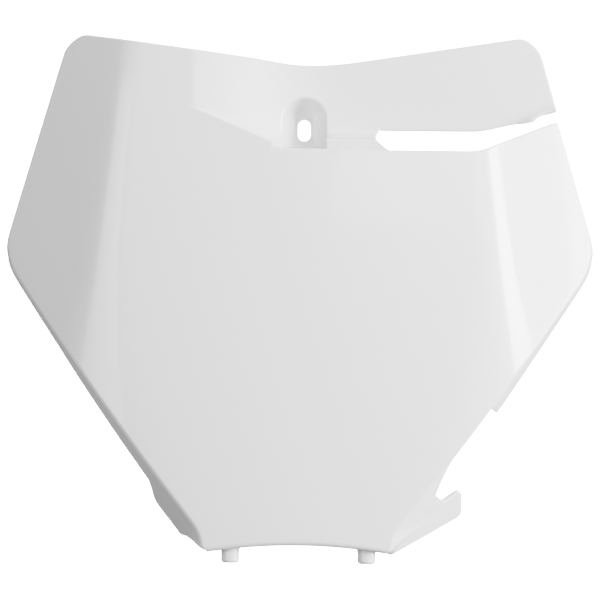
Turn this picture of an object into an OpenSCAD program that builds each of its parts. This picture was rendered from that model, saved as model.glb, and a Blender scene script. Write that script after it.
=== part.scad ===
// Front racing number board: one moulding in glossy white plastic.
// X runs to the right and Z up as seen from the front, and Y runs from the front to the back.
// The origin is the middle of the screw slot, on the rear seat of the screw boss.
// The front face is worked out as a depth y for each place (x, z). The outline is filled with a
// grid of such places, its rim is rolled back into lips, and a rear skin lies one wall behind.

/* [Outline, seen from the front] */
// Width between the side corners, before they are rounded
side_w = 267; // [250:0.2:280]
// Width between the top corners, before they are rounded
top_w = 208.4; // [196:0.2:216]
// Width of the bottom edge
bottom_w = 85; // [76:0.5:96]
// Middle of the board beside the screw, to the right when positive
board_shift = -1.4; // [-4:0.1:4]
// Height of the top corners above the screw
top_h = 43.2; // [40:0.2:50]
// Height above the screw of the dip in the top edge
dip_h = 27.8; // [26:0.2:32]
// Drop from the screw to the side corners
side_drop = 56; // [50:0.5:64]
// Drop from the screw to the bottom corners
bottom_drop = 187; // [178:0.5:200]
// Rise of the bottom edge's arch between its corners
bottom_rise = 3.4; // [0:0.1:6]
// Outward bow of each lower edge
lower_bow = 1.8; // [0:0.1:4]
// Rounding of the top corners
top_corner_r = 8.5; // [6:0.5:16]
// Length over which each side corner is rounded
side_corner_l = 27; // [12:0.5:36]

/* [Front face] */
// Depth from the foremost point of the face to the seat of the screw boss
boss_set_back = 30.4; // [28:0.2:36]
// Crown radius of the face from side to side
crown_r_across = 600; // [450:10:1200]
// Crown radius of the face from top to bottom
crown_r_up = 850; // [600:10:1600]
// Drop from the screw to the foremost point of the face
crown_drop = 95; // [80:1:120]
// Width between the middles of the two folds, level with the screw
fold_w = 161; // [150:1:172]
// Angle by which each fold leans outwards as it runs down
fold_flare = 6; // [0:0.1:8]
// Angle by which each side wing is folded back
wing_fold = 26; // [15:0.5:34]
// Width of the fold level with the screw
fold_soft = 16; // [10:0.5:20]
// Wall thickness of the whole moulding
wall = 2.2; // [1.8:0.1:2.6]

/* [Upper pocket] */
// Drop from the screw to the top edge of the main panel
ledge_drop = 8.3; // [7.5:0.1:10]
// Angle of the ledge's side edge as it climbs to the left
ledge_climb = 23; // [18:0.5:28]
// Place of the ledge's corner, left of the screw
ledge_corner = 6.3; // [3:0.1:10]
// Draft of the ledge's wall, measured from straight back
ledge_draft = 21; // [16:0.5:26]
// Depth from the ear's face, level with the screw, to the seat of the screw boss
ear_set_back = 13; // [12:0.2:15]
// Angle by which the ear leans back
ear_lean = 4; // [0:0.5:8]
// Start of the ramp that falls to the ear, left of the screw
ramp_start = 50; // [46:0.5:56]
// Angle of the crease at the start of the ramp
ramp_crease = 7.5; // [3:0.5:12]
// Angle that the ramp has reached where it meets the ear
ramp_angle = 21; // [18:0.5:24]
// Length over which the ramp steepens
ramp_l = 36; // [24:1:44]

/* [Hose slot] */
// Place of the slot's left end, right of the screw
slot_start = 29.7; // [27:0.1:34]
// Width of the slot where it is straight
slot_w = 8.2; // [7:0.1:9]
// Place where the slot turns up, right of the screw
slot_turn = 78; // [72:0.5:84]
// Upward angle of the slot's lower edge past the turn
slot_low_angle = 21.7; // [18:0.1:24]
// Upward angle of the slot's upper edge past the turn
slot_high_angle = 13.2; // [11:0.1:15]

/* [Lips] */
// Radius with which the front face rolls into a lip
roll_r = 2.5; // [2.3:0.1:3.5]
// Draft of the lips, measured from straight back
lip_draft = 25; // [15:1:30]
// Length of the lips' straight wall below the side corners
lip_short = 3.2; // [2:0.1:5]
// Length of the lips' straight wall where the left lip meets its flange
lip_long = 9.6; // [8:0.1:14]
// Drop from the screw to the end of the right lip
lip_end_drop = 121; // [112:0.5:128]
// Length of the left flange's straight wall at its deepest
flange_l = 18; // [14:0.5:22]
// Drop from the screw to the start of the left flange
flange_drop = 151.5; // [146:0.5:156]
// Length of the shelf that runs back from the bottom edge
shelf_l = 14; // [13:0.5:18]

/* [Hose hook] */
// Angle by which the right flange is folded back from the face
hook_fold = 40; // [30:1:46]
// Width of the flange at the level of the bottom corner
hook_foot_w = 7.6; // [6:0.1:9]
// Height of the flange's outer corner above the bottom corner, along the fold
hook_corner_h = 32.9; // [30:0.1:33]
// Reach of the flange from its fold to its outer corner
hook_reach = 29.9; // [28:0.1:32]
// Height of the floor of the hook's mouth, along the fold
hook_mouth_h = 33.6; // [33.2:0.1:36]
// Distance from the fold to the far side of the mouth
hook_mouth_w = 14.3; // [12.5:0.1:15.5]
// Height of the hook's tip, along the fold
hook_tip_h = 41.1; // [39:0.1:44]
// Width of the hook's tip
hook_tip_w = 3.5; // [2.8:0.1:4.5]
// Distance by which the tip leans out beyond the mouth
hook_tip_lean = 3.2; // [1.5:0.1:4.5]
// Height where the edge above the mouth starts to flare out, along the fold
hook_flare_h = 52; // [46:0.5:56]
// Width by which that edge has flared out at the mouth
hook_flare_w = 6; // [2:0.1:7]

/* [Screw boss] */
// Half width of the boss pocket at the ear's face
pocket_r = 9.8; // [9:0.1:11]
// Half width of the pocket's flat floor
pocket_floor_r = 5.9; // [5:0.1:6.5]
// Height of the pocket's round top above the screw, to its centre
pocket_rise = 4.7; // [4:0.1:6]
// Thickness of the boss floor that the screw clamps
boss_floor = 3; // [2.4:0.1:4]
// Width of the screw slot
screw_slot_w = 5.6; // [4.4:0.1:6.6]
// Height of the screw slot
screw_slot_h = 9.3; // [7:0.1:10]

/* [Locating pegs] */
// Diameter of each peg
peg_d = 8; // [6:0.1:9]
// Distance between the two pegs
peg_pitch = 60.5; // [50:0.5:66]
// Middle of the pegs beside the screw, to the right when positive
peg_shift = -0.65; // [-3:0.05:3]
// Distance of the pegs' axes behind the bottom edge
peg_back = 8; // [7:0.1:10]
// Drop from the screw to the pegs' ends
peg_end_drop = 192.4; // [190:0.1:206]
// Chamfer on the pegs' ends
peg_chamfer = 0.9; // [0.4:0.1:1.4]
// Height of the flared root that joins each peg to the shelf
peg_root_h = 2.1; // [1.6:0.1:3]
// Width by which the root flares out
peg_root_w = 0.5; // [0.2:0.1:1]

/* [Hidden] */
$fn = 64;

plain_roll = 1.6;
slot_end_roll = 0.5;
plain_inset = roll_r * sin(deg(plain_roll / roll_r));
shelf_draft = 1;
screw_slot_end_r = screw_slot_w / 2;

// The sharp side corner, the knee near the bottom corner, and the slopes between them.
top_half = top_w / 2;
side_half = side_w / 2;
bottom_half = bottom_w / 2;
knee_up = 9;
knee_out = 1.5;
knee_soft = 14;
fold_end_z = -106.5;
near_most = 0.8;
far_most = 0.92;
upper_slope = (side_half - top_half) / (top_h + side_drop);
lower_slope = (side_half - bottom_half - knee_out) / (bottom_drop - knee_up - side_drop);
knee_slope = knee_out / knee_up;

// The top edge dips between the corners, and steps down a little where the ramp is.
dip_x = 4;
dip_soft = 50;
dip_step = 1;
dip_step_l = 25;

// The four level lines of the grid: bottom edge, side corners, ledge, top of slot, top edge.
row_bottom = -bottom_drop;
row_side = -side_drop;
ledge_soft = 14;
ledge_round = 2.6;
ledge_past_ramp = 12;
ledge_left_x = ramp_start + ledge_past_ramp;
slot_soft = 12;
slot_lean = 1.23;
slot_back_lean = 0.67;
slot_tip_rise = 5.3;
slot_back_rise = 4;
slot_lean_l = 22;
slot_lean_h = 10;
slot_lean_fade = 20;
pocket_foot = 1.2;
pocket_headroom = 20;
boss_lap = 0.7 * wall;
ramp_soft = 4;
fold_spread = 0.12;
blend_power = 5;
normal_reach = 0.05;
lip_ramp = 18;
lip_end_slack = 0.1;
flange_ramp = 10;
flange_foot = 12;
flange_swell = 0.7;
hook_chord_h = 27.5;
hook_flare_power = 1.5;
hook_plate_lap = 4;
hook_root_l = 10;
hook_edge_lap = 0.1;
hook_skin_gap = 0.06;
hook_corner_r = 1.6;

function deg(a) = a * 180 / PI;
function mix(a, b, t) = a + (b - a) * t;
function clamp01(t) = max(0, min(1, t));
function smooth(t) = let(c = clamp01(t)) c * c * (3 - 2 * c);
function unit(v) = v / norm(v);

// Zero below u = 0 and rising one for one past u = w, with an even bend between.
function bend(u, w) =
    u <= 0 ? 0 : u >= w ? u - w / 2 : let(t = u / w) w * (pow(t, 3) - pow(t, 4) / 2);

// The same with its corner at u = 0.
function corner(u, w) = bend(u + w / 2, w);

// The smaller of a rise a and a limit b, rounded where they are alike.
function limited(a, b) =
    a <= 0 ? 0 : b <= 0 ? b : pow(pow(a, -blend_power) + pow(b, -blend_power), -1 / blend_power);

// Half width of the outline at height z.
function outline_half(z) =
    let(t = clamp01((row_side - z) / (bottom_drop - knee_up - side_drop)))
    side_half
    - upper_slope * corner(z - row_side, side_corner_l)
    - lower_slope * corner(row_side - z, side_corner_l)
    + (lower_slope - knee_slope) * corner(row_bottom + knee_up - z, knee_soft)
    + 4 * lower_bow * t * (1 - t);

// Half width of the grid, which stops where the rim starts to roll.
function grid_half(z) = outline_half(z) - plain_inset * norm([1, z > row_side ? upper_slope : lower_slope]);

// The lines seen from the front, as heights over x.
function top_line(x) =
    let(slope_r = (top_h - dip_h) / (top_half + board_shift - dip_x))
    let(slope_l = (top_h - dip_h - dip_step) / (top_half - board_shift + dip_x))
    dip_h + slope_r * corner(x - dip_x, dip_soft) + slope_l * corner(dip_x - x, dip_soft)
    + dip_step * (1 - smooth((x + dip_step_l) / dip_step_l));
function ledge_line(x) =
    -ledge_drop
    + tan(ledge_climb) * (corner(-ledge_corner - x, ledge_soft) - corner(-ledge_left_x - x, ledge_soft))
    + tan(slot_low_angle) * corner(x - slot_turn, slot_soft);
function slot_top_line(x) =
    slot_w - ledge_drop
    + tan(ledge_climb) * (corner(-ledge_corner - x, ledge_soft) - corner(-ledge_left_x - x, ledge_soft))
    + tan(slot_high_angle) * corner(x - slot_turn, slot_soft);
function bottom_line(u) = row_bottom + plain_inset + bottom_rise * (1 - u * u);

// Depth of the crowned face, of a fold at each side and of the ear's plane.
function crown(x, z) =
    pow(x - board_shift, 2) / (2 * crown_r_across) + pow(z + crown_drop, 2) / (2 * crown_r_up)
    - boss_set_back;
function fold_at(z) = fold_w / 2 - z * tan(fold_flare);
function fold_wide(z) = fold_soft - fold_spread * min(0, z);
function fold(out, z) = tan(wing_fold) * corner(out - fold_at(z), fold_wide(z));
function ear_face(z) = z * tan(ear_lean) - ear_set_back;
function ramp_drop(x, z) =
    let(crease = tan(ramp_crease) * corner(x + ramp_start, ramp_soft))
    let(steeper = (tan(ramp_angle) - tan(ramp_crease)) * bend(x + ramp_start, ramp_l))
    limited(crease + steeper, ear_face(z) - crown(x, z));
function ledge_drop_at(x, z) =
    limited(corner(z - ledge_line(x), ledge_round) / tan(ledge_draft), ramp_drop(x, z));

// Depth of the front face at (x, z), for the panel below the slot or for all above it.
function face_y(x, z, below) =
    crown(x, z) + fold(board_shift - x, z) + (below ? fold(x - board_shift, z) : ledge_drop_at(x, z));
function face_normal(x, z, below) =
    let(e = normal_reach)
    unit([
        (face_y(x - e, z, below) - face_y(x + e, z, below)) / (2 * e),
        1,
        (face_y(x, z - e, below) - face_y(x, z + e, below)) / (2 * e)
    ]);

// Columns of the grid, from -1 at the left edge to 1 at the right edge, level with the screw.
fold_u = (fold_at(0) - fold_wide(0) / 2) / outline_half(0);
fold_end_u = (fold_at(0) + fold_wide(0) / 2) / outline_half(0);
slot_u = (slot_start - board_shift) / outline_half(0);
ramp_u = (ramp_start + board_shift) / outline_half(0);
corner_u = 1 - top_corner_r / outline_half(0);
function steps(a, b, n) = [for (k = [0 : n - 1]) mix(a, b, k / n)];
left_cols = concat(
    steps(-1, -corner_u, 3), steps(-corner_u, -fold_end_u, 2), steps(-fold_end_u, -fold_u, 4),
    steps(-fold_u, -ramp_u, 3), steps(-ramp_u, 0, 6), steps(0, slot_u, 3)
);
right_cols = concat(
    steps(slot_u, fold_u, 4), steps(fold_u, fold_end_u, 4), steps(fold_end_u, corner_u, 2),
    steps(corner_u, 1, 3), [1]
);
columns = concat(left_cols, right_cols);
last_col = len(columns) - 1;
slot_col = len(left_cols);

// At height z the columns spread or close, so that the fold keeps its own columns as far as it goes.
function column_at(u, z) =
    let(z_fold = max(z, fold_end_z))
    let(back = smooth((fold_end_z - z) / (fold_end_z - row_bottom)))
    let(starts = (fold_at(z_fold) - fold_wide(z_fold) / 2) / outline_half(z_fold))
    let(ends = (fold_at(z_fold) + fold_wide(z_fold) / 2) / outline_half(z_fold))
    let(near = mix(min(near_most, starts), fold_u, back))
    let(far = mix(min(far_most, ends), fold_end_u, back))
    let(a = abs(u))
    (u < 0 ? -1 : 1) * (
        a <= fold_u ? a / fold_u * near
        : a <= fold_end_u ? mix(near, far, (a - fold_u) / (fold_end_u - fold_u))
        : mix(far, 1, (a - fold_end_u) / (1 - fold_end_u))
    );

// The hook's flange lies in a plane that turns back about the fold's chord above the knee. Heights
// on the hook are measured along this chord from the level of the bottom corner.
function chord_point(z) =
    let(x = board_shift + grid_half(z))
    [x, face_y(x, z, true), z];
hook_low = chord_point(row_bottom + knee_up);
hook_high = chord_point(row_bottom + hook_chord_h);
hook_along = unit(hook_high - hook_low);
hook_at = hook_low - hook_along * (knee_up - plain_inset) / hook_along[2];
hook_normal = face_normal(hook_high[0], hook_high[2], true);
hook_flat = unit(cross(hook_normal, hook_along));
hook_back = unit(cross(hook_along, hook_flat));
hook_out = cos(hook_fold) * hook_flat + sin(hook_fold) * hook_back;
hook_in = cos(hook_fold) * hook_back - sin(hook_fold) * hook_flat;
hook_origin = hook_at - roll_r * (1 - cos(hook_fold)) * hook_in;

// Rows of the grid: [level below, share of the way to the level above].
corner_drop = bottom_drop - plain_inset;
function lower_share(drop) = (corner_drop - drop) / (corner_drop - side_drop);
lip_end_f = lower_share(lip_end_drop);
mouth_f = lower_share(corner_drop - hook_mouth_h * hook_along[2]);
foot_f = 0.08;
cut_f = 0.006;
turn_f = lower_share(side_drop + side_corner_l / 2);
upper_turn_f = side_corner_l / 2 / (side_drop - ledge_drop);
top_turn_f = 1 - top_corner_r / (top_h - slot_w);
function level_rows(level, shares) = [for (f = shares) [level, f]];
hook_rows = level_rows(0, concat(steps(0, foot_f, 3), steps(foot_f, mouth_f, 4), [mouth_f]));
lower_rows = level_rows(0, concat(
    steps(mouth_f + cut_f, lip_end_f - cut_f, 5), steps(lip_end_f - cut_f, lip_end_f, 1),
    steps(lip_end_f, turn_f, 8), steps(turn_f, 1, 4)
));
upper_rows = level_rows(1, concat(steps(0, upper_turn_f, 4), steps(upper_turn_f, 1, 4)));
ledge_rows = level_rows(2, [0, 0.11, 0.2, 0.3, 0.45, 0.58, 0.75]);
ear_rows = level_rows(3, concat(steps(0, top_turn_f, 4), steps(top_turn_f, 1, 3), [1]));
rows = concat(hook_rows, lower_rows, upper_rows, ledge_rows, ear_rows);
last_row = len(rows) - 1;
mouth_row = len(hook_rows) - 1;
slot_row = len(hook_rows) + len(lower_rows) + len(upper_rows);
crest_row = slot_row + 1;
ear_row = slot_row + len(ledge_rows);

// Height of each level at the left and right edges of the grid, and in between.
grid_left = board_shift - grid_half(0);
grid_right = board_shift + grid_half(0);
edge_z = [
    [row_bottom + plain_inset, row_bottom + plain_inset],
    [row_side, row_side],
    [ledge_line(grid_left) - plain_inset, ledge_line(grid_right) - plain_inset],
    [slot_top_line(grid_left) + plain_inset, slot_top_line(grid_right) + plain_inset],
    [top_h - plain_inset, top_h - plain_inset]
];
function column_x(zl, zr, u) =
    board_shift + mix(-grid_half(zl), grid_half(zr), (column_at(u, u < 0 ? zl : zr) + 1) / 2);
function level_z(level, u) =
    let(x = column_x(edge_z[level][0], edge_z[level][1], u))
    level == 0 ? bottom_line(u)
    : level == 1 ? row_side
    : level == 2 ? ledge_line(x) - plain_inset
    : level == 3 ? slot_top_line(x) + plain_inset
    : top_line(x) - plain_inset;

// The slot's left end leans, because it is cut square through the sloping ledge.
function lean_x(x, z) =
    let(rise = z - ledge_line(x) - slot_tip_rise)
    let(below = slot_lean * max(0, min(-rise, slot_tip_rise + plain_inset)))
    let(above = slot_back_lean * max(0, min(rise, slot_back_rise)))
    let(near = clamp01(1 - abs(x - slot_start) / slot_lean_l))
    x + (below + above) * near * clamp01(1 - (abs(z) - slot_lean_h) / slot_lean_fade);

// Square grid corners are drawn in to round ones at the two top corners.
function round_corner(p) =
    let(side = p[0] > board_shift ? 1 : -1)
    let(from_side = grid_half(p[1]) - side * (p[0] - board_shift))
    let(from_top = top_line(p[0]) - plain_inset - p[1])
    let(a = 1 - from_side / top_corner_r)
    let(b = 1 - from_top / top_corner_r)
    a <= 0 || b <= 0 ? p
    : p - top_corner_r * [side * a * (1 - sqrt(1 - b * b / 2)), b * (1 - sqrt(1 - a * a / 2))];

function place(i, j) =
    let(level = rows[i][0])
    let(f = rows[i][1])
    let(u = columns[j])
    let(zl = mix(edge_z[level][0], edge_z[level + 1][0], f))
    let(zr = mix(edge_z[level][1], edge_z[level + 1][1], f))
    let(x = column_x(zl, zr, u))
    let(z = mix(level_z(level, u), level_z(level + 1, u), f))
    round_corner([lean_x(x, z), z]);

places = [for (i = [0 : last_row]) [for (j = [0 : last_col]) place(i, j)]];
function front(i, j) =
    let(p = places[i][j])
    [p[0], face_y(p[0], p[1], i <= slot_row), p[1]];
function normal(i, j) =
    let(p = places[i][j])
    face_normal(p[0], p[1], i <= slot_row);

// The rim of the grid, once round, anticlockwise from the bottom left corner.
rim = concat(
    [for (j = [0 : last_col]) [0, j]],
    [for (i = [1 : slot_row]) [i, last_col]],
    [for (j = [last_col - 1 : -1 : slot_col]) [slot_row, j]],
    [for (i = [slot_row + 1 : ear_row]) [i, slot_col]],
    [for (j = [slot_col + 1 : last_col]) [ear_row, j]],
    [for (i = [ear_row + 1 : last_row]) [i, last_col]],
    [for (j = [last_col - 1 : -1 : 0]) [last_row, j]],
    [for (i = [last_row - 1 : -1 : 1]) [i, 0]]
);
rim_n = len(rim);
function rim_point(m) = let(r = rim[(m + rim_n) % rim_n]) front(r[0], r[1]);

// How far the rim runs on past the grid: a plain rolled edge, a lip, a flange or the shelf.
function lip_length(z) =
    (1 - smooth((z - row_side + lip_ramp / 3) / lip_ramp))
    * mix(lip_short, lip_long, clamp01((row_side - z) / (flange_drop - side_drop)));
function left_length(z) =
    let(full = lip_length(z) + (flange_l - lip_long) * smooth((-flange_drop - z) / flange_ramp))
    let(rise = clamp01((z - row_bottom - plain_inset) / flange_foot))
    plain_roll + min(full, (flange_l + roll_r) * pow(rise, flange_swell));
function hook_width(h) = min(mix(hook_foot_w, hook_reach, h / hook_corner_h), hook_reach - hook_plate_lap);
function hook_flare(h) =
    hook_flare_w * pow(clamp01((hook_flare_h - h) / (hook_flare_h - hook_mouth_h)), hook_flare_power);
function hook_height(m) =
    (rim_point(m) - hook_at) * hook_along - (rim[m][0] == 0 ? plain_inset : 0);
function is_hook(m) = rim[m][1] == last_col && rim[m][0] <= mouth_row;
function is_lip(z) = z > -lip_end_drop - lip_end_slack;
function rim_length(m) =
    let(i = rim[m][0])
    let(j = rim[m][1])
    let(z = places[i][j][1])
    is_hook(m) ? hook_width(hook_height(m))
    : i == 0 ? (j == 0 ? plain_roll : shelf_l)
    : j == 0 ? left_length(z)
    : j == last_col && i < slot_row ? plain_roll + (is_lip(z) ? lip_length(z) : hook_flare(hook_height(m)))
    : j == slot_col ? slot_end_roll
    : plain_roll;

// Each rim station has a point, a direction out along the face, the face's normal, the length of
// its run, the angle that it turns through and, on the hook's flange, its height on the hook.
function station(m) =
    let(r = rim[m])
    let(n = normal(r[0], r[1]))
    let(t = rim_point(m + 1) - rim_point(m - 1))
    let(out = unit(cross(n, t)))
    let(draft = r[0] == 0 ? shelf_draft : lip_draft)
    let(folded = r[1] == last_col && !is_lip(places[r[0]][r[1]][1]))
    let(turn = folded ? hook_fold : 90 - draft - asin(out[1]))
    [rim_point(m), out, n, rim_length(m), turn, is_hook(m) ? hook_height(m) : undef];
stations = [for (m = [0 : rim_n - 1]) station(m)];

// The rim's profile: an arc of roll_r through the station's full angle, and then straight on.
function roll_angle(s, run) = min(deg(run / roll_r), s[4]);
function roll_point(s, run, inset) =
    let(a = roll_angle(s, run))
    let(straight = run - roll_r * a * PI / 180)
    let(along = cos(a) * s[1] + sin(a) * s[2])
    let(inward = cos(a) * s[2] - sin(a) * s[1])
    s[0] + roll_r * sin(a) * s[1] + roll_r * (1 - cos(a)) * s[2] + straight * along + inset * inward;
function run_at(s, ring) =
    let(arc = roll_r * s[4] * PI / 180)
    ring == 1 ? min(s[3] / 3, arc / 2) : ring == 2 ? min(2 * s[3] / 3, arc) : s[3];
rings = 3;

// Past its fold, the hook's flange lies in one plane.
function on_hook(h, q, inset) = hook_origin + h * hook_along + q * hook_out + inset * hook_in;
function onto_hook(p, inset) = on_hook((p - hook_origin) * hook_along, (p - hook_origin) * hook_out, inset);
function ring_point(s, ring, inset) =
    is_undef(s[5]) || ring == 1 ? roll_point(s, run_at(s, ring), inset)
    : ring == 2 && s[5] > knee_up ? onto_hook(roll_point(s, run_at(s, ring), 0), inset)
    : ring == 2 ? roll_point(s, run_at(s, ring), inset)
    : on_hook(s[5], s[3], inset);

// Points in layers: front grid, front rings, rear grid, rear rings. Behind the ledge's tight corner
// the rear has a single edge, so the row of the corner lies halfway between its neighbours there.
grid_n = (last_row + 1) * (last_col + 1);
layer_n = grid_n + rings * rim_n;
function inset_point(i, j, inset) = front(i, j) + inset * normal(i, j);
function skin_point(i, j, inset) =
    i == crest_row && j <= slot_col && inset > 0
    ? (inset_point(i - 1, j, inset) + inset_point(i + 1, j, inset)) / 2
    : inset_point(i, j, inset);
function layer(inset) = concat(
    [for (i = [0 : last_row]) for (j = [0 : last_col]) skin_point(i, j, inset)],
    [for (k = [1 : rings]) for (s = stations) ring_point(s, k, inset)]
);
function grid_id(i, j) = i * (last_col + 1) + j;
function ring_id(k, m) =
    let(w = (m + rim_n) % rim_n)
    k == 0 ? grid_id(rim[w][0], rim[w][1]) : grid_n + (k - 1) * rim_n + w;
function is_slot(i, j) = i >= slot_row && i < ear_row && j >= slot_col;
layer_quads = concat(
    [for (i = [0 : last_row - 1]) for (j = [0 : last_col - 1]) if (!is_slot(i, j))
        [grid_id(i, j), grid_id(i + 1, j), grid_id(i + 1, j + 1), grid_id(i, j + 1)]],
    [for (k = [0 : rings - 1]) for (m = [0 : rim_n - 1])
        [ring_id(k, m), ring_id(k, m + 1), ring_id(k + 1, m + 1), ring_id(k + 1, m)]]
);
function two_triangles(q) = [[q[0], q[1], q[2]], [q[0], q[2], q[3]]];
function flipped(q) = [q[3] + layer_n, q[2] + layer_n, q[1] + layer_n, q[0] + layer_n];
skin_faces = concat(
    [for (q = layer_quads) for (t = two_triangles(q)) t],
    [for (q = layer_quads) for (t = two_triangles(flipped(q))) t],
    [for (m = [0 : rim_n - 1]) for (t = two_triangles([
        ring_id(rings, m), ring_id(rings, m + 1),
        ring_id(rings, m + 1) + layer_n, ring_id(rings, m) + layer_n
    ])) t]
);

// The moulded skin: face, ear, ledge, lips, left flange and bottom shelf.
module skin() {
    polyhedron(concat(layer(0), layer(wall)), skin_faces, convexity = 8);
}

// Plan of the boss pocket, grown by g: its sides taper from the ear's face to the depth back.
module boss_plan(g, back) {
    polygon([
        [-pocket_r - g, -boss_set_back], [pocket_r + g, -boss_set_back],
        [pocket_r + g, -ear_set_back], [pocket_floor_r + g, back],
        [-pocket_floor_r - g, back], [-pocket_r - g, -ear_set_back]
    ]);
}

// Side view of the boss below its round top: it follows the ledge's wall down to the panel.
module boss_side(g, back, headroom) {
    panel_y = crown(0, -ledge_drop) + wall / 2;
    ear_y = boss_lap - ear_set_back;
    polygon([
        [panel_y, -ledge_drop - g], [panel_y, headroom - ledge_drop],
        [ear_y, headroom - ledge_drop + tan(ledge_draft) * (ear_y - panel_y)],
        [ear_y, pocket_rise], [back, pocket_rise], [back, pocket_foot - ledge_drop - g]
    ]);
}

// The pocket or, grown by one wall, the outside of the boss.
module boss_form(g, back, mouth, headroom) {
    slope = (pocket_r - pocket_floor_r) / (ear_set_back - boss_floor);
    depth = back - mouth;
    translate([0, back, pocket_rise])
        rotate([90, 0, 0])
            cylinder(h = depth, r1 = pocket_floor_r + g, r2 = pocket_floor_r + g + slope * depth);
    intersection() {
        translate([0, 0, -bottom_drop])
            linear_extrude(bottom_drop + pocket_rise)
                boss_plan(g, back);
        translate([-pocket_r - g, 0, 0])
            rotate([90, 0, 90])
                linear_extrude(2 * (pocket_r + g))
                    boss_side(g, back, headroom);
    }
}

// The screw slot, straight through the boss floor.
module screw_slot() {
    run = (screw_slot_h - screw_slot_w) / 2;
    for (z = [-run, run])
        translate([0, wall, z])
            rotate([90, 0, 0])
                cylinder(h = boss_floor + 2 * wall, r = screw_slot_end_r);
    translate([-screw_slot_end_r, -boss_floor - wall, -run])
        cube([screw_slot_w, boss_floor + 2 * wall, 2 * run]);
}

// The hook's tongue and the flange's outer corner are a plate in the plane of the flange.
module hook_outline() {
    root_h = hook_corner_h - hook_root_l;
    edge_w = mix(hook_foot_w, hook_reach, root_h / hook_corner_h);
    tip_w = hook_mouth_w + hook_tip_lean;
    offset(r = hook_corner_r, $fn = 24)
        offset(delta = -hook_corner_r)
            polygon([
                [root_h, hook_mouth_w - hook_plate_lap], [hook_mouth_h, hook_mouth_w],
                [hook_tip_h, tip_w], [hook_tip_h, tip_w + hook_tip_w],
                [hook_corner_h, hook_reach], [root_h, edge_w - hook_edge_lap]
            ]);
}

module hose_hook() {
    at = on_hook(0, 0, hook_skin_gap);
    multmatrix([
        [hook_along[0], hook_out[0], hook_in[0], at[0]],
        [hook_along[1], hook_out[1], hook_in[1], at[1]],
        [hook_along[2], hook_out[2], hook_in[2], at[2]]
    ])
        linear_extrude(wall - 2 * hook_skin_gap)
            hook_outline();
}

// A peg hangs from the shelf, with a web above it that ties the shelf to the back of the face.
module locating_peg(x) {
    y = face_y(x, row_bottom, true) + peg_back;
    shelf_z = row_bottom + bottom_rise / 2;
    root_z = shelf_z + peg_end_drop;
    translate([x, y, -peg_end_drop])
        rotate_extrude()
            polygon([
                [0, 0], [peg_d / 2 - peg_chamfer, 0], [peg_d / 2, peg_chamfer],
                [peg_d / 2, root_z - peg_root_h], [peg_d / 2 + peg_root_w, root_z], [0, root_z]
            ]);
    translate([x - wall / 2, 0, 0])
        rotate([90, 0, 90])
            linear_extrude(wall)
                polygon([
                    [y - peg_back + wall / 2, shelf_z], [y + peg_d / 2, shelf_z],
                    [y + peg_d / 2, shelf_z + wall], [y - peg_back + wall / 2, shelf_z + 2 * peg_d]
                ]);
}

module number_board() {
    color("white")
        difference() {
            union() {
                skin();
                boss_form(wall, 0, boss_lap - ear_set_back, -wall / 2);
                hose_hook();
                for (side = [-1, 1])
                    locating_peg(peg_shift + side * peg_pitch / 2);
            }
            boss_form(0, -boss_floor, -ear_set_back - 1, pocket_headroom);
            screw_slot();
        }
}

number_board();
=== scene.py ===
# The number board as it looks: one glossy white moulding. Its face follows the same formulas as
# the source, in millimetres, with finer steps, rounded edges and a filleted screw pocket.
import math

import bpy
import numpy as np
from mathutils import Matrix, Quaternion, Vector


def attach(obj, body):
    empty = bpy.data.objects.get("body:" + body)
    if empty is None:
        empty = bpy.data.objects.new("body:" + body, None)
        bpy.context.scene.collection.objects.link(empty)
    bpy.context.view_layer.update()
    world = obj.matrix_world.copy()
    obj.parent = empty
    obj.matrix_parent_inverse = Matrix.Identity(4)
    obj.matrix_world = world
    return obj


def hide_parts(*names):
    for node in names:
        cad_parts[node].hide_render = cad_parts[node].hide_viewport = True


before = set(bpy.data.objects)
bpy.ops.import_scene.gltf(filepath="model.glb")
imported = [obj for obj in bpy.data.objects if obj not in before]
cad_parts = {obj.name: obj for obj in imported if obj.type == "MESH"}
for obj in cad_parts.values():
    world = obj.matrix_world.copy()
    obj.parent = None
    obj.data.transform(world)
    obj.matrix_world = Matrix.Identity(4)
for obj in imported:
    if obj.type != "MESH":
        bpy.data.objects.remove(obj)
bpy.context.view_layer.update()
print("stage: frame loaded")

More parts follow.
